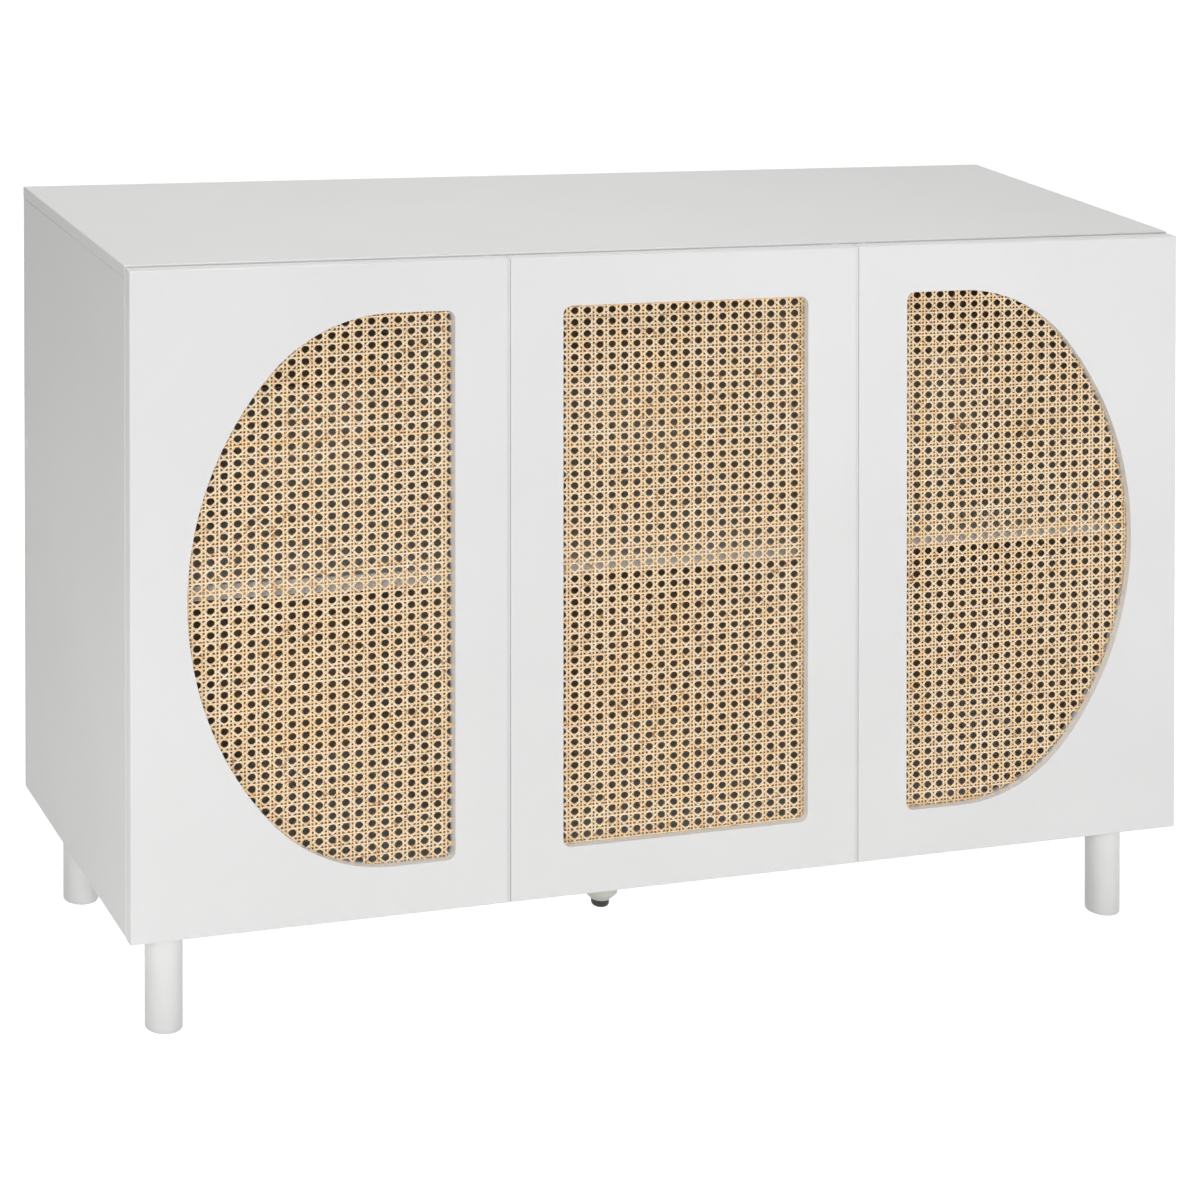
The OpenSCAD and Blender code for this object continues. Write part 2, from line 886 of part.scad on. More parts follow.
module cam_bolts() {
    color(steel) for (c = all_cams) {
        rod(cam_centre(c) + (cam_d / 2 + bore_clear) * c[2], c[2], bolt_d, bolt_l - bore_clear);
    }
}

module cover_caps() {
    color(painted) for (s = [-1, 1]) {
        rod([s * (cabinet_w / 2 + cap_out), cap_y, cap_z], [-s, 0, 0], cap_d, cap_in + cap_out);
    }
}

// Bumpers near the doors' free corners, on the edges of the top and bottom panels
module door_bumpers() {
    color(clear_plastic) for (i = [0:2], z = [leg_h + board_t / 2, under_top_z + board_t / 2]) {
        x = i == 2 ? door_x(2) + bumper_in : door_x(i) + door_w - bumper_in;
        rod([x, carcase_y, z], [0, -1, 0], bumper_d, bumper_t);
    }
}

top_panel();
bottom_panel();
left_side_panel();
right_side_panel();
left_divider();
right_divider();
gap_strips();
left_back_sheet();
middle_back_sheet();
right_back_sheet();
left_shelf();
middle_shelf();
right_shelf();
shelf_pins();
left_rear_rail();
middle_rear_rail();
right_rear_rail();
front_left_leg();
front_right_leg();
rear_left_leg();
rear_right_leg();
leg_glides();
leg_plates();
leg_plate_screws();
middle_leg();
middle_leg_plate();
levelling_foot();
left_door_panel();
middle_door_panel();
right_door_panel();
left_cane();
middle_cane();
right_cane();
left_cane_retainer();
middle_cane_retainer();
right_cane_retainer();
left_hinge_cups();
middle_hinge_cups();
right_hinge_cups();
left_cup_screws();
middle_cup_screws();
right_cup_screws();
left_hinge_arms();
middle_hinge_arms();
right_hinge_arms();
hinge_plates();
hinge_plate_screws();
latch_housings();
left_plunger();
middle_plunger();
right_plunger();
left_strike();
middle_strike();
right_strike();
cam_locks();
cam_bolts();
cover_caps();
door_bumpers();
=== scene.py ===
import json
import math

import bpy
import numpy as np
from mathutils import Matrix, Vector


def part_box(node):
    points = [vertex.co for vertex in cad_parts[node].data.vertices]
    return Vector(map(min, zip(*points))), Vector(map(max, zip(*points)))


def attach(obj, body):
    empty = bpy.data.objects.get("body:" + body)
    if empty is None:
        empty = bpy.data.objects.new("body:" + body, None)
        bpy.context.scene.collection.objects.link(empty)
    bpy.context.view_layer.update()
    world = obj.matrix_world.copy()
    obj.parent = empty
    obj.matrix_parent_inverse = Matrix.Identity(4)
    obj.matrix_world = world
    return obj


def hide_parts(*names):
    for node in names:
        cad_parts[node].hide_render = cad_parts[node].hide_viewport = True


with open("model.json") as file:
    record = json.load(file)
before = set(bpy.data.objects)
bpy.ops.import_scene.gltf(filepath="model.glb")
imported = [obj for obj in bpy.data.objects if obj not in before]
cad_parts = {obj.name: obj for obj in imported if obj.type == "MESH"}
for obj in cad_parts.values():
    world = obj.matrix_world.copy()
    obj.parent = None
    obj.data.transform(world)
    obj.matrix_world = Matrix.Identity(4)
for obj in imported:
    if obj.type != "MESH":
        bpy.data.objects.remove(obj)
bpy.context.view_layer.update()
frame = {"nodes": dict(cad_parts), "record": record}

# White sideboard with three cane-front doors on round legs.
# Metres. X runs to the right, Y to the rear, Z up, from the floor under the middle.

rng = np.random.default_rng(22)


# Camera
# The picture's uprights were set parallel and its sides were stretched after it was
# taken, so the view is an oblique one: the camera hangs in a sheared empty frame, and
# the same shear holds at every render size.

cameraSettings = {
    "place": (-1.43133, -2.9813, 1.42667),
    "turn": 0.3554,              # radians to the right of straight ahead
    "tip": 0.01495,              # radians downwards
    "roll": -0.00114,
    "lens": 95.234,
    "sensor": 36.0,
    "clip": (0.05, 50.0),
    "shearRightUp": 0.04976,     # how far the picture's right leans up
    "shearBackRight": -0.09121,  # how far the way back to the camera leans right
    "shearBackUp": 0.31351,      # and up
}


def obliqueFrame(s):
    # Columns: right = x + a * y, up = y and back = z + b * x + c * y, for the level
    # camera axes x, y, z and the shears a, b, c. Right and back keep the length one.
    turn, tip, roll = s["turn"], s["tip"], s["roll"]
    ahead = Vector((math.sin(turn) * math.cos(tip), math.cos(turn) * math.cos(tip), -math.sin(tip)))
    levelRight = Vector((math.cos(turn), -math.sin(turn), 0.0))
    levelUp = levelRight.cross(ahead)
    x = math.cos(roll) * levelRight + math.sin(roll) * levelUp
    y = -math.sin(roll) * levelRight + math.cos(roll) * levelUp
    z = -ahead
    right = (x + s["shearRightUp"] * y).normalized()
    back = (z + s["shearBackRight"] * x + s["shearBackUp"] * y).normalized()
    return Matrix((
        (right.x, y.x, back.x, s["place"][0]),
        (right.y, y.y, back.y, s["place"][1]),
        (right.z, y.z, back.z, s["place"][2]),
        (0.0, 0.0, 0.0, 1.0),
    ))


def makeCamera(s):
    data = bpy.data.cameras.new("camera")
    data.lens = s["lens"]
    data.sensor_width = s["sensor"]
    data.sensor_fit = "HORIZONTAL"
    data.clip_start, data.clip_end = s["clip"]
    camera = bpy.data.objects.new("camera", data)
    holder = bpy.data.objects.new("cameraHolder", None)
    bpy.context.scene.collection.objects.link(holder)
    bpy.context.scene.collection.objects.link(camera)
    camera.parent = holder
    camera.matrix_parent_inverse = obliqueFrame(s)
    bpy.context.scene.camera = camera


makeCamera(cameraSettings)
print("camera set")


# Nodes, for the sky, the floor and the materials

white = (1.0, 1.0, 1.0, 1.0)


def addNode(tree, kind, values=None, **properties):
    # A new node, first with its own properties and then with the values of its sockets
    node = tree.nodes.new("ShaderNode" + kind)
    for name, value in properties.items():
        setattr(node, name, value)
    for socket, value in (values or {}).items():
        node.inputs[socket].default_value = value
    return node


def addRamp(tree, low, lowColour, high, highColour):
    # A colour ramp from one place and colour to another
    ramp = addNode(tree, "ValToRGB")
    for end, at, colour in zip(ramp.color_ramp.elements, (low, high), (lowColour, highColour)):
        end.position = at
        end.color = (*colour, 1.0)
    return ramp


def seenOnly(tree):
    # One for rays that look at the background: from the camera, by reflection or through glass
    path = addNode(tree, "LightPath")
    total = path.outputs["Is Camera Ray"]
    for kind in ("Is Glossy Ray", "Is Transmission Ray"):
        either = addNode(tree, "Math", operation="MAXIMUM")
        tree.links.new(total, either.inputs[0])
        tree.links.new(path.outputs[kind], either.inputs[1])
        total = either.outputs[0]
    return total


# Light

lightSettings = {
    "sky": 0.14,                 # evenly from all round
    "lamps": {
        "keyLamp": {             # from behind the camera, on the doors
            "place": (-2.7, -5.6, 2.7), "aim": (0.1, -0.2, 0.3), "size": 1.2, "power": 148.0,
        },
        "topLamp": {             # on the top panel
            "place": (-0.2, -0.4, 3.2), "aim": (-0.1, 0.0, 0.7), "size": 1.7, "power": 40.6,
        },
        "cornerLamp": {          # low, on the front of the left end
            "place": (-1.25, -0.75, 0.03), "aim": (-0.6, -0.1, 0.25), "size": 0.7, "power": 3.1,
        },
        "sideLamp": {            # low, square to the left end
            "place": (-1.5, -0.12, 0.10), "aim": (-0.6, -0.1, 0.25), "size": 0.5, "power": 0.2,
        },
        "legLamp": {             # low, on the right legs
            "place": (1.6, -2.6, 0.25), "aim": (0.6, -0.2, 0.2), "size": 0.8, "power": 20.0,
        },
    },
}
floorSettings = {
    "size": 14.0,
    "colour": (0.95, 0.95, 0.95),
    "glow": 0.87,                # seen by the camera and in reflections, lights nothing
}


def makeLamp(name, s):
    data = bpy.data.lights.new(name, "AREA")
    data.shape = "SQUARE"
    data.size = s["size"]
    data.energy = s["power"]
    lamp = bpy.data.objects.new(name, data)
    lamp.location = s["place"]
    lamp.rotation_euler = (Vector(s["aim"]) - Vector(s["place"])).to_track_quat("-Z", "Y").to_euler()
    lamp.visible_camera = False
    bpy.context.scene.collection.objects.link(lamp)


def makeSky(strength):
    # White to the camera, and a weak even light for everything else
    world = bpy.data.worlds.new("sky")
    bpy.context.scene.world = world
    world.use_nodes = True
    tree = world.node_tree
    tree.nodes.clear()
    out = addNode(tree, "OutputWorld")
    lit = addNode(tree, "Background", {"Color": white, "Strength": strength})
    seen = addNode(tree, "Background", {"Color": white, "Strength": 1.0})
    mix = addNode(tree, "MixShader")
    tree.links.new(seenOnly(tree), mix.inputs[0])
    tree.links.new(lit.outputs[0], mix.inputs[1])
    tree.links.new(seen.outputs[0], mix.inputs[2])
    tree.links.new(mix.outputs[0], out.inputs["Surface"])


def makeFloor(s):
    # A square of pale paper with a glow of its own, which keeps the cabinet's shadow
    half = s["size"] / 2
    mesh = bpy.data.meshes.new("floor")
    corners = [(-half, -half, 0), (half, -half, 0), (half, half, 0), (-half, half, 0)]
    mesh.from_pydata(corners, [], [(0, 1, 2, 3)])
    floor = bpy.data.objects.new("floor", mesh)
    bpy.context.scene.collection.objects.link(floor)
    material = bpy.data.materials.new("floorPaper")
    material.use_nodes = True
    tree = material.node_tree
    tree.nodes.clear()
    out = addNode(tree, "OutputMaterial")
    paper = addNode(tree, "BsdfDiffuse", {"Color": (*s["colour"], 1.0)})
    glow = addNode(tree, "Emission")
    strength = addNode(tree, "Math", {1: s["glow"]}, operation="MULTIPLY")
    add = addNode(tree, "AddShader")
    tree.links.new(seenOnly(tree), strength.inputs[0])
    tree.links.new(strength.outputs[0], glow.inputs["Strength"])
    tree.links.new(paper.outputs[0], add.inputs[0])
    tree.links.new(glow.outputs[0], add.inputs[1])
    tree.links.new(add.outputs[0], out.inputs["Surface"])
    mesh.materials.append(material)


bpy.context.scene.view_settings.view_transform = "Standard"
makeSky(lightSettings["sky"])
for lampName, lamp in lightSettings["lamps"].items():
    makeLamp(lampName, lamp)
makeFloor(floorSettings)
print("light and floor set")


# Paint, foil, hardboard and plastic, and the painted shade inside the bays

outsideTone = (0.755, 0.755, 0.745)    # foil of the faces that look outwards
bayShadeTone = (0.56, 0.49, 0.41)        # painted shade of the bays, on faces that are white foil
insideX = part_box("right_side_panel")[0].x + 0.0002

finishes = {
    "doorPaint": {"colour": (0.77, 0.77, 0.77), "roughness": 0.42, "grain": 900.0, "depth": 0.00002},
    "boardFoil": {"colour": outsideTone, "roughness": 0.46, "grain": 1400.0, "depth": 0.00002},
    # white shelf foil, tinted warm as painted light of the bays
    "shelfFoilAndWarmLight": {"colour": (0.80, 0.77, 0.72), "roughness": 0.5, "grain": 1400.0, "depth": 0.00002},
    # white foil on the outside, painted shade on the faces inside the bays
    "sideFoilWithShade": {
        "colour": outsideTone, "roughness": 0.46, "grain": 1400.0, "depth": 0.00002,
        "innerShade": bayShadeTone, "shadeReach": insideX,
    },
    # dividers and rear rail: white foil shown in the painted shade of the bays
    "dividerPaintedShade": {"colour": bayShadeTone, "roughness": 0.5, "grain": 1400.0, "depth": 0.00002},
    # brown hardboard back, made this dark partly as painted shade of the bays
    "hardboard": {"colour": (0.42, 0.31, 0.21), "roughness": 0.6, "grain": 500.0, "depth": 0.00004},
    "legPaint": {"colour": (0.79, 0.79, 0.78), "roughness": 0.4, "grain": 1200.0, "depth": 0.00001},
    "whitePlastic": {"colour": (0.75, 0.75, 0.75), "roughness": 0.35, "grain": 2000.0, "depth": 0.00001},
    "greyPlastic": {"colour": (0.76, 0.76, 0.70), "roughness": 0.5, "grain": 1500.0, "depth": 0.00002},
    "blackPlastic": {"colour": (0.02, 0.02, 0.02), "roughness": 0.45, "grain": 1500.0, "depth": 0.00002},
    "clearRubber": {"colour": (0.78, 0.80, 0.80), "roughness": 0.3, "grain": 1500.0, "depth": 0.00001},
}
mottle = {
    "patchScale": 6.0,
    "patchDetail": 3.0,
    "darker": 0.985,             # tones of the patches, as shares of the finish's colour
    "lighter": 1.01,
    "patchEdges": (0.3, 0.7),
    "bump": 0.35,
}


def surface(name, roughness, metallic=0.0):
    # A new material with its shader, ready for a pattern
    material = bpy.data.materials.new(name)
    material.use_nodes = True
    tree = material.node_tree
    shader = tree.nodes["Principled BSDF"]
    shader.inputs["Roughness"].default_value = roughness
    shader.inputs["Metallic"].default_value = metallic
    return material, tree, shader


def paintInnerShade(tree, place, outer, s):
    # Painted shade: the dark bay tone wherever |x| is less than the reach of the inner faces, and the outer
    # foil's tone elsewhere
    axes = addNode(tree, "SeparateXYZ")
    away = addNode(tree, "Math", operation="ABSOLUTE")
    within = addNode(tree, "Math", {1: s["shadeReach"]}, operation="LESS_THAN")
    both = addNode(tree, "Mix", {"B": (*s["innerShade"], 1.0)}, data_type="RGBA")
    tree.links.new(place.outputs["Object"], axes.inputs["Vector"])
    tree.links.new(axes.outputs["X"], away.inputs[0])
    tree.links.new(away.outputs[0], within.inputs[0])
    tree.links.new(within.outputs[0], both.inputs["Factor"])
    tree.links.new(outer, both.inputs["A"])
    return both.outputs["Result"]


def mottled(name, s, m):
    # Two close tones in broad patches, and a fine skin of bumps
    material, tree, shader = surface(name, s["roughness"])
    colour = np.array(s["colour"])
    place = addNode(tree, "TexCoord")
    patches = addNode(tree, "TexNoise", {"Scale": m["patchScale"], "Detail": m["patchDetail"]})
    low, high = m["patchEdges"]
    tones = addRamp(tree, low, colour * m["darker"], high, colour * m["lighter"])
    skin = addNode(tree, "TexNoise", {"Scale": s["grain"]})
    bump = addNode(tree, "Bump", {"Strength": m["bump"], "Distance": s["depth"]})
    tree.links.new(place.outputs["Object"], patches.inputs["Vector"])
    tree.links.new(place.outputs["Object"], skin.inputs["Vector"])
    tree.links.new(patches.outputs["Fac"], tones.inputs["Fac"])
    shown = tones.outputs["Color"]
    # the side panels' inner faces get painted shade
    if "innerShade" in s:
        shown = paintInnerShade(tree, place, shown, s)
    tree.links.new(shown, shader.inputs["Base Color"])
    tree.links.new(skin.outputs["Fac"], bump.inputs["Height"])
    tree.links.new(bump.outputs["Normal"], shader.inputs["Normal"])
    return material


# Plated steel and cast zinc

metals = {
    "platedSteel": {"colour": (0.62, 0.63, 0.65), "roughness": 0.32, "stretch": (4.0, 1.0, 4.0)},
    "castZinc": {"colour": (0.52, 0.52, 0.53), "roughness": 0.5, "stretch": (1.0, 1.0, 1.0)},
}
streak = {
    "scale": 60.0,
    "detail": 4.0,
    "darker": 0.8,               # share of the metal's colour in the dark streaks
    "gloss": (0.8, 1.3),         # least and most of the metal's roughness
}


def brushedMetal(name, s, m):
    # Fine streaks along the stretch in colour and gloss
    material, tree, shader = surface(name, s["roughness"], 1.0)
    place = addNode(tree, "TexCoord")
    stretched = addNode(tree, "Mapping", {"Scale": s["stretch"]})
    streaks = addNode(tree, "TexNoise", {"Scale": m["scale"], "Detail": m["detail"]})
    tones = addRamp(tree, 0.0, np.array(s["colour"]) * m["darker"], 1.0, s["colour"])
    gloss = addNode(tree, "MapRange", {
        "To Min": s["roughness"] * m["gloss"][0],
        "To Max": s["roughness"] * m["gloss"][1],
    })
    tree.links.new(place.outputs["Object"], stretched.inputs["Vector"])
    tree.links.new(stretched.outputs["Vector"], streaks.inputs["Vector"])
    tree.links.new(streaks.outputs["Fac"], tones.inputs["Fac"])
    tree.links.new(tones.outputs["Color"], shader.inputs["Base Color"])
    tree.links.new(streaks.outputs["Fac"], gloss.inputs["Value"])
    tree.links.new(gloss.outputs["Result"], shader.inputs["Roughness"])
    return material


# Split cane

caneFinish = {
    "pale": (1.0, 0.83, 0.61),
    "deep": (0.97, 0.65, 0.32),
    "paleTo": 0.35,              # pale up to this tone, and deep at one
    "roughness": 0.42,
    "gloss": 0.2,                # weight of the glossy outer skin
    "glossRoughness": 0.3,
    "fibreScale": (90.0, 9.0, 1.0),
    "fibreDetail": 4.0,
    "fibreShare": 0.7,           # how much the fibres add to a strand's own tone
    "bump": 0.5,
    "depth": 0.0001,
    "knot": (0.46, 0.21, 0.07),
    "knotShare": 0.40,
    "knotEdge": 0.12,
    "knotScale": (55.0, 0.6, 1.0),
    "knotPlace": (3.1, 7.7, 0.0),
    "knotDetail": 1.0,
}


def caneSkin(s):
    # Each strand has its own tone, long fibres run along it and brown knots come now and then.
    # The tone is fibreShare * fibres + the strand's own.
    material, tree, shader = surface("caneSkin", s["roughness"])
    shader.inputs["Coat Weight"].default_value = s["gloss"]
    shader.inputs["Coat Roughness"].default_value = s["glossRoughness"]
    strand = addNode(tree, "UVMap", uv_map="strand")
    tone = addNode(tree, "Attribute", attribute_name="tone")
    fibreWay = addNode(tree, "Mapping", {"Scale": s["fibreScale"]})
    fibres = addNode(tree, "TexNoise", {"Scale": 1.0, "Detail": s["fibreDetail"]})
    blend = addNode(tree, "Math", {1: s["fibreShare"]}, operation="MULTIPLY_ADD")
    tones = addRamp(tree, s["paleTo"], s["pale"], 1.0, s["deep"])
    knotWay = addNode(tree, "Mapping", {"Scale": s["knotScale"], "Location": s["knotPlace"]})
    knots = addNode(tree, "TexNoise", {"Scale": 1.0, "Detail": s["knotDetail"]})
    knotFrom = 1.0 - s["knotShare"]
    knotPick = addNode(tree, "MapRange", {"From Min": knotFrom, "From Max": knotFrom + s["knotEdge"]})
    mix = addNode(tree, "Mix", {"B": (*s["knot"], 1.0)}, data_type="RGBA")
    bump = addNode(tree, "Bump", {"Strength": s["bump"], "Distance": s["depth"]})
    tree.links.new(strand.outputs["UV"], fibreWay.inputs["Vector"])
    tree.links.new(fibreWay.outputs["Vector"], fibres.inputs["Vector"])
    tree.links.new(fibres.outputs["Fac"], blend.inputs[0])
    tree.links.new(tone.outputs["Fac"], blend.inputs[2])
    tree.links.new(blend.outputs[0], tones.inputs["Fac"])
    tree.links.new(strand.outputs["UV"], knotWay.inputs["Vector"])
    tree.links.new(knotWay.outputs["Vector"], knots.inputs["Vector"])
    tree.links.new(knots.outputs["Fac"], knotPick.inputs["Value"])
    tree.links.new(knotPick.outputs["Result"], mix.inputs["Factor"])
    tree.links.new(tones.outputs["Color"], mix.inputs["A"])
    tree.links.new(mix.outputs["Result"], shader.inputs["Base Color"])
    tree.links.new(fibres.outputs["Fac"], bump.inputs["Height"])
    tree.links.new(bump.outputs["Normal"], shader.inputs["Normal"])
    return material


materials = {name: mottled(name, s, mottle) for name, s in finishes.items()}
materials.update({name: brushedMetal(name, s, streak) for name, s in metals.items()})
materials["caneSkin"] = caneSkin(caneFinish)
print("materials made")


# Boards, legs and fittings

slotFinish = {
    "painted_door": "doorPaint",
    "foil_board": "boardFoil",
    "back_sheet": "hardboard",
    "painted_leg": "legPaint",
    "grey_leg": "greyPlastic",
    "white_plastic": "whitePlastic",
    "black_plastic": "blackPlastic",
    "clear_rubber": "clearRubber",
    "zinc": "castZinc",
    "steel": "platedSteel",
    "cane": "caneSkin",
}
boardFinish = {                  # by the end of a board's name; the side panels' inner faces, the dividers and the rear rail wear painted shade
    "side_panel": "sideFoilWithShade",
    "divider": "dividerPaintedShade",
    "rear_rail": "dividerPaintedShade",
    "shelf": "shelfFoilAndWarmLight",
}
softEdge = {
    "widths": {"painted_door": 0.0005, "foil_board": 0.0004, "white_plastic": 0.0004},
    "segments": 2,
    "angle": 40,                 # degrees between faces from which an edge is softened
    "weld": 0.00001,
}


def dressNode(name, node, slot, edge):
    finish = slotFinish[slot]
    for ending, foil in boardFinish.items():
        if name.endswith(ending):
            finish = foil
    node.data.materials.clear()
    node.data.materials.append(materials[finish])
    if slot in edge["widths"]:
        weld = node.modifiers.new("weld", "WELD")
        weld.merge_threshold = edge["weld"]
        bevel = node.modifiers.new("edge", "BEVEL")
        bevel.width = edge["widths"][slot]
        bevel.segments = edge["segments"]
        bevel.limit_method = "ANGLE"
        bevel.angle_limit = math.radians(edge["angle"])


slotOf = {part["node"]: part["material_slot"] for part in frame["record"]["subparts"]}
for name, node in frame["nodes"].items():
    dressNode(name, node, slotOf[name], softEdge)
print("boards and fittings finished")


# Woven cane

windowShape = {
    "stile": 0.058,
    "rail": 0.050,
    "straightRun": 0.068,
    "shoulder": 0.175,
    "corner": 0.009,
    "hidden": 0.0065,            # how far the webbing reaches behind the frame
}
weave = {
    "across": 0.0141,            # pitch of the upright pairs
    "up": 0.01197,               # pitch of the level pairs
    "uprightWidth": 0.00248,
    "uprightSlit": 0.00145,
    "levelWidth": 0.0021,
    "levelSlit": 0.00128,
    "diagonalWidth": 0.0023,
    "wave": 0.00035,             # how far a strand rises and dips
    "diagonalWave": 0.6,         # share of that for the diagonals
    "sway": 0.12,                # share of its slit by which a strand of a pair bends aside
    "crown": 0.00035,            # height of a strand's rounded face
    "steps": 4,                  # rings for each pitch
    "jitter": 0.00012,           # how far a strand lies off its place
    "widthShares": (0.93, 1.07),  # narrowest and widest strand
    "tone": (0.28, 0.16),        # mean and spread of the strands' tones
    "toneMost": 0.8,
    "grainShift": (50.0, 40.0),  # how far the fibre pattern may start along and across
}
lay = {                          # each sheet's shift from the window's middle, and its rows' climb
    "left": {"shift": (-0.0014, 0.0029), "climb": 0.017},
    "middle": {"shift": (0.0029, 0.0062), "climb": 0.0},
    "right": {"shift": (0.0037, -0.0038), "climb": 0.0},
}
clipSamples = 3001               # points tried along a strand's line


def insideWindow(side, u, v, grow, s, halfW, halfH):
    # A point is inside when it lies within the rectangle, the small corners and, on a bowed
    # side, within the shoulder's circle above the line through both centres or the bow's
    # circle below it. Here x grows from the bow to the straight side.
    x = u if side != "right" else -u
    y = np.abs(v)
    inside = (np.abs(x) <= halfW + grow) & (y <= halfH + grow)
    cornerX, cornerY = halfW - s["corner"], halfH - s["corner"]
    reach = np.hypot(x - cornerX, y - cornerY)
    inside &= ~((x > cornerX) & (y > cornerY) & (reach > s["corner"] + grow))
    if side == "middle":
        reach = np.hypot(x + cornerX, y - cornerY)
        return inside & ~((x < -cornerX) & (y > cornerY) & (reach > s["corner"] + grow))
    run = 2 * halfW - s["straightRun"]
    r = s["shoulder"]
    bow = (run**2 + (halfH - r) ** 2 - r**2) / (2 * (run - r))
    bowX, runX = bow - halfW, run - halfW
    above = (runX - bowX) * y - (halfH - r) * (x - bowX) < 0
    inShoulder = np.hypot(x - runX, y - (halfH - r)) <= r + grow
    inBow = np.hypot(x - bowX, y) <= bow + grow
    return inside & ((x >= runX) | np.where(above, inShoulder, inBow))


def clipLine(side, start, way, reach, s, halfW, halfH):
    # First and last t at which start + t * way lies in the window grown by what is hidden
    t = np.linspace(-reach, reach, clipSamples)
    inside = insideWindow(side, start[0] + way[0] * t, start[1] + way[1] * t, s["hidden"], s, halfW, halfH)
    if not inside.any():
        return None
    return t[inside][0], t[inside][-1]


def strandPlan(s, laid, halfW, halfH):
    # Each strand is a kind, a start, a unit way, the pitch along it, its width and its hand
    # in the pair or crossing. The sheet's lattice has the steps a = (across, climb * across)
    # and b = (0, up), with a hole at every point. Upright and level strands run in pairs half
    # a step from the holes, diagonals pass midway between two holes.
    a = np.array([s["across"], laid["climb"] * s["across"]])
    b = np.array([0.0, s["up"]])
    origin = np.array(laid["shift"])
    columns = int(halfW / s["across"]) + 2
    rows = int(halfH / s["up"]) + 4
    plan = []

    def add(kind, base, step, width, gap, hand):
        pitch = math.hypot(*step)
        way = step / pitch
        off = hand * (width + gap) / 2 * np.array([way[1], -way[0]]) if gap else 0.0
        plan.append((kind, base + off, way, pitch, width, hand))

    for i in range(-columns, columns + 1):
        for hand in (-1, 1):
            add("upright", origin + (i + 0.5) * a, b, s["uprightWidth"], s["uprightSlit"], hand)
    for j in range(-rows, rows + 1):
        for hand in (-1, 1):
            add("level", origin + (j + 0.5) * b, a, s["levelWidth"], s["levelSlit"], hand)
    for k in range(-(columns + rows), columns + rows + 1):
        for hand in (-1, 1):
            add("diagonal", origin + (k + 0.5) * a, a + hand * b, s["diagonalWidth"], 0.0, hand)
    return plan


def strandWave(kind, hand, turns, s):
    # Shift aside and rise towards the front. Uprights and levels follow the cosine of the
    # turns, one for each pitch, the levels only forwards or backwards of the sheet's middle;
    # diagonals lie straight and rise by the cosine of twice the turns.
    if kind == "upright":
        return -hand * s["uprightSlit"] * s["sway"] * np.cos(turns), -hand * s["wave"] * np.cos(turns)
    if kind == "level":
        shift = hand * s["levelSlit"] * s["sway"] * np.cos(turns)
        return shift, hand * s["wave"] * (0.5 + 0.5 * np.cos(turns))
    return np.zeros(len(turns)), hand * s["wave"] * s["diagonalWave"] * np.cos(2 * turns)


def strandRings(t, start, way, sideShift, rise, width, crown):
    # The ring at t is the strand's left edge, its crown and its right edge, about the point
    # start + t * way + shift * across, with the crown in front
    across = np.array([-way[1], way[0]])
    centre = np.array(start) + t[:, None] * np.array(way) + sideShift[:, None] * across
    left = centre - across * width / 2
    right = centre + across * width / 2
    rings = np.empty((len(t), 3, 3))
    for k, (flat, lift) in enumerate(((left, 0.0), (centre, crown), (right, 0.0))):
        rings[:, k, 0] = flat[:, 0]
        rings[:, k, 1] = -(rise + lift)
        rings[:, k, 2] = flat[:, 1]
    return rings


def ringFaces(count, first):
    # Three quads between each ring and the next, the third one the flat back, and a triangle
    # at each end
    k = np.arange(count - 1)[:, None] * 3 + first
    j = np.arange(3)
    a = k + j
    b = k + (j + 1) % 3
    quads = np.stack([a, b, b + 3, a + 3], axis=-1).reshape(-1, 4)
    last = first + 3 * count
    ends = np.array([[first, first + 2, first + 1], [last - 3, last - 2, last - 1]])
    return quads, ends


def strandMesh(name, points, quads, ends, strandUv, tones):
    # Quads first and end triangles after them; the two front faces of each ring are smooth
    corners = np.concatenate([quads.ravel(), ends.ravel()])
    starts = np.concatenate([np.arange(len(quads)) * 4, len(quads) * 4 + np.arange(len(ends)) * 3])
    mesh = bpy.data.meshes.new(name)
    mesh.vertices.add(len(points))
    mesh.vertices.foreach_set("co", points.astype(np.float32).ravel())
    mesh.loops.add(len(corners))
    mesh.loops.foreach_set("vertex_index", corners.astype(np.int32))
    mesh.polygons.add(len(starts))
    mesh.polygons.foreach_set("loop_start", starts.astype(np.int32))
    front = np.arange(len(starts)) % 3 < 2
    mesh.polygons.foreach_set("use_smooth", front & (np.arange(len(starts)) < len(quads)))
    mesh.update(calc_edges=True)
    uv = mesh.uv_layers.new(name="strand")
    uv.data.foreach_set("uv", strandUv[corners].astype(np.float32).ravel())
    tone = mesh.attributes.new("tone", "FLOAT", "POINT")
    tone.data.foreach_set("value", tones.astype(np.float32))
    mesh.validate()
    return mesh


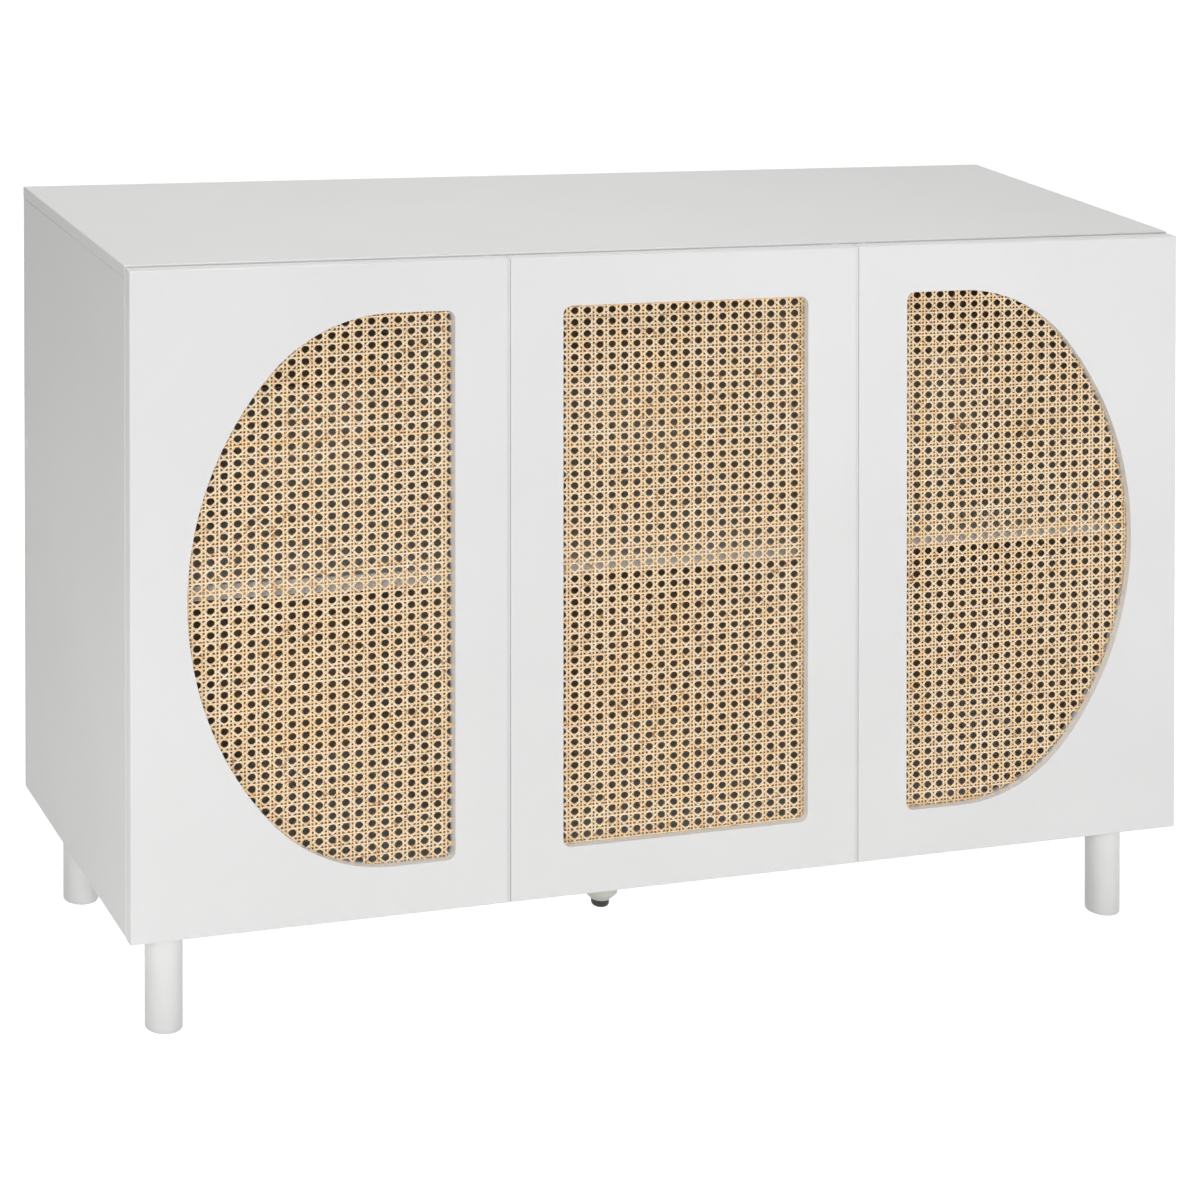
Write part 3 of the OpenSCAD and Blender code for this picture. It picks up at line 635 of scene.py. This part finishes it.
def makeWebbing(side, s, laid, shape):
    low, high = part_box(side + "_cane")
    doorLow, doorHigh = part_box(side + "_door_panel")
    halfW = (doorHigh.x - doorLow.x) / 2 - shape["stile"]
    halfH = (doorHigh.z - doorLow.z) / 2 - shape["rail"]
    middle = ((doorLow.x + doorHigh.x) / 2, (low.y + high.y) / 2, (doorLow.z + doorHigh.z) / 2)
    points, quads, ends, strandUv, tones = [], [], [], [], []
    first = 0
    reach = 2 * math.hypot(halfW, halfH)
    for kind, start, way, pitch, width, hand in strandPlan(s, laid, halfW, halfH):
        span = clipLine(side, start, way, reach, shape, halfW, halfH)
        if span is None or span[1] - span[0] < pitch / 2:
            continue
        count = max(2, int(round((span[1] - span[0]) / pitch * s["steps"])) + 1)
        t = np.linspace(span[0], span[1], count)
        shift, rise = strandWave(kind, hand, 2 * np.pi * t / pitch, s)
        shift = shift + rng.normal(0.0, s["jitter"])
        rings = strandRings(t, start, way, shift, rise, width * rng.uniform(*s["widthShares"]), s["crown"])
        quad, end = ringFaces(count, first)
        points.append(rings.reshape(-1, 3))
        quads.append(quad)
        ends.append(end)
        along = np.repeat(t + rng.uniform(0.0, s["grainShift"][0]), 3)
        aside = np.tile([0.0, 0.5, 1.0], count) + rng.uniform(0.0, s["grainShift"][1])
        strandUv.append(np.stack([along, aside], axis=1))
        tones.append(np.full(count * 3, np.clip(rng.normal(*s["tone"]), 0.0, s["toneMost"])))
        first += count * 3
    points = np.concatenate(points) + np.array(middle)
    quads, ends = np.concatenate(quads), np.concatenate(ends)
    mesh = strandMesh(side + "Webbing", points, quads, ends, np.concatenate(strandUv), np.concatenate(tones))
    mesh.materials.append(materials["caneSkin"])
    webbing = bpy.data.objects.new(side + "Webbing", mesh)
    bpy.context.scene.collection.objects.link(webbing)
    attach(webbing, side + "_door")
    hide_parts(side + "_cane")
    print(side, "webbing:", len(points), "points,", len(quads) * 2 + len(ends), "triangles")


for side, laid in lay.items():
    makeWebbing(side, weave, laid, windowShape)
print("webbing woven")
